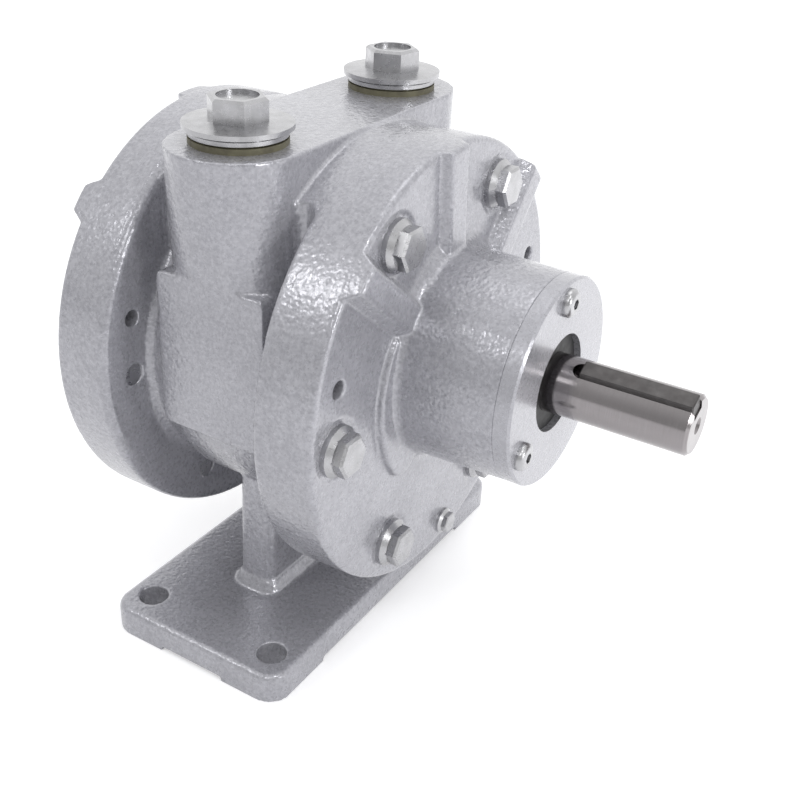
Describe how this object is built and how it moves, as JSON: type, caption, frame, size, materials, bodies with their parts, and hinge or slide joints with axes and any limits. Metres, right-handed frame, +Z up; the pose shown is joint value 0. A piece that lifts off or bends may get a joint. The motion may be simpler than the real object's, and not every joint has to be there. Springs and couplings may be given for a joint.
{
  "type": "air vane motor",
  "caption": "Foot-mounted air vane motor with ribbed end covers, two plugged top ports and a keyed drive shaft.",
  "frame": {"origin": "centre of the foot's underside, midway between the four foot holes", "axes": "+X along the shaft, out of the drive end; +Z up from the foot; Y across the motor, ports at -Y and +Y"},
  "size_m": [0.1789, 0.1242, 0.1571],
  "materials": {
    "painted_casting": "silver-grey hammered paint on cast iron",
    "satin_cap": "smooth silver-grey paint",
    "gasket_sheet": "painted-over sheet gasket",
    "zinc_steel": "zinc plated",
    "dark_steel": "dark spring steel",
    "bearing_steel": "ground bearing steel",
    "ground_steel": "fine ground steel",
    "key_steel": "drawn key steel, dull",
    "rotor_iron": "machined iron",
    "vane_composite": "laminated composite",
    "black_rubber": "moulded seal",
    "olive_rubber": "olive-brown gasket"
  },
  "bodies": {
    "motor": {"housing": "painted_casting", "front_cover": "painted_casting", "rear_cover": "painted_casting", "rear_cap": "painted_casting", "front_cap": "satin_cap", "front_gasket": "gasket_sheet", "rear_gasket": "gasket_sheet", "front_cover_bolts": "zinc_steel", "rear_cover_bolts": "zinc_steel", "front_marker_screw": "zinc_steel", "rear_marker_screw": "zinc_steel", "front_cap_screws": "zinc_steel", "rear_cap_screws": "zinc_steel", "front_dowel_pins": "dark_steel", "rear_dowel_pins": "dark_steel", "shaft_seal": "black_rubber", "wave_washer": "dark_steel", "front_bearing_outer_race": "bearing_steel", "rear_bearing_outer_race": "bearing_steel", "near_plug": "zinc_steel", "far_plug": "zinc_steel", "near_plug_washer": "zinc_steel", "far_plug_washer": "zinc_steel", "near_plug_gasket": "olive_rubber", "far_plug_gasket": "olive_rubber"},
    "rotor_set": {"shaft": "ground_steel", "shaft_key": "key_steel", "rotor": "rotor_iron", "retaining_ring": "dark_steel", "vane_1": "vane_composite", "vane_2": "vane_composite", "vane_3": "vane_composite", "vane_4": "vane_composite", "front_bearing_inner_race": "bearing_steel", "rear_bearing_inner_race": "bearing_steel"},
    "front_ball_set": {"front_bearing_balls": "bearing_steel", "front_bearing_cage": "dark_steel"},
    "rear_ball_set": {"rear_bearing_balls": "bearing_steel", "rear_bearing_cage": "dark_steel"}
  },
  "joints": [
    {"name": "shaft_spin", "type": "hinge", "parent": "motor", "child": "rotor_set", "pos_m": [0, 0, 0.0889], "axis": [1, 0, 0], "continuous": true},
    {"name": "front_balls_orbit", "type": "hinge", "parent": "motor", "child": "front_ball_set", "pos_m": [0.063, 0, 0.0889], "axis": [1, 0, 0], "continuous": true},
    {"name": "rear_balls_orbit", "type": "hinge", "parent": "motor", "child": "rear_ball_set", "pos_m": [-0.0525, 0, 0.0889], "axis": [1, 0, 0], "continuous": true}
  ],
  "couplings": [
    {"joint": "front_balls_orbit", "follows": "shaft_spin", "ratio": 0.3912},
    {"joint": "rear_balls_orbit", "follows": "shaft_spin", "ratio": 0.3912}
  ]
}
